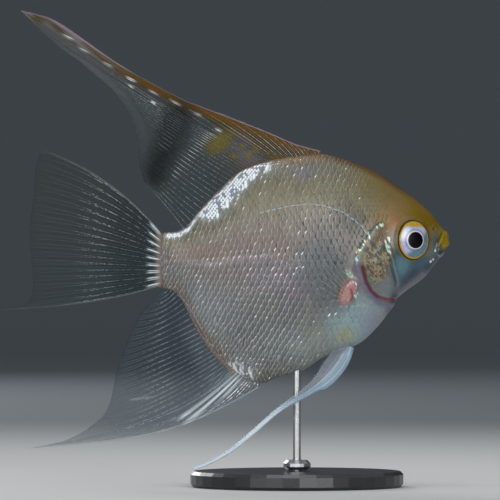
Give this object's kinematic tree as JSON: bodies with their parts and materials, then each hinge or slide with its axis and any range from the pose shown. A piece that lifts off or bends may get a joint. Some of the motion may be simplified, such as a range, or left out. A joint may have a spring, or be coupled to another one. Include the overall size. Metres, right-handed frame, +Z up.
{
  "type": "freshwater angelfish",
  "caption": "Still life-size model of a silvery freshwater angelfish with a swept dorsal and anal fin, fan tail and long pelvic filaments, held over a round base by a slim rod.",
  "frame": {"origin": "centre of the underside of the display stand's base, straight under its rod", "axes": "+X towards the snout, +Y towards the fish's left side, +Z up"},
  "size_m": [0.1159, 0.054, 0.1204],
  "materials": {
    "skin": "wet silvery scales over beige, golden on forehead and back",
    "eye": "clear glossy ball with a silver iris and a black pupil",
    "fin_web": "clear smoky web between pale rays",
    "filament": "smooth bluish white",
    "base_black": "black satin enamel",
    "stand_steel": "fine satin"
  },
  "bodies": {
    "root": {"head": "skin", "lower_jaw": "skin", "gill_cover_left": "skin", "gill_cover_right": "skin", "trunk": "skin", "tail_stalk": "skin", "eye_left": "eye", "eye_right": "eye", "dorsal_fin": "fin_web", "anal_fin": "fin_web", "tail_fin": "fin_web", "pectoral_fin_left": "fin_web", "pectoral_fin_right": "fin_web", "pelvic_fin_left": "filament", "pelvic_fin_right": "filament", "stand_base": "base_black", "stand_rod": "stand_steel", "stand_collar": "stand_steel"}
  },
  "joints": []
}
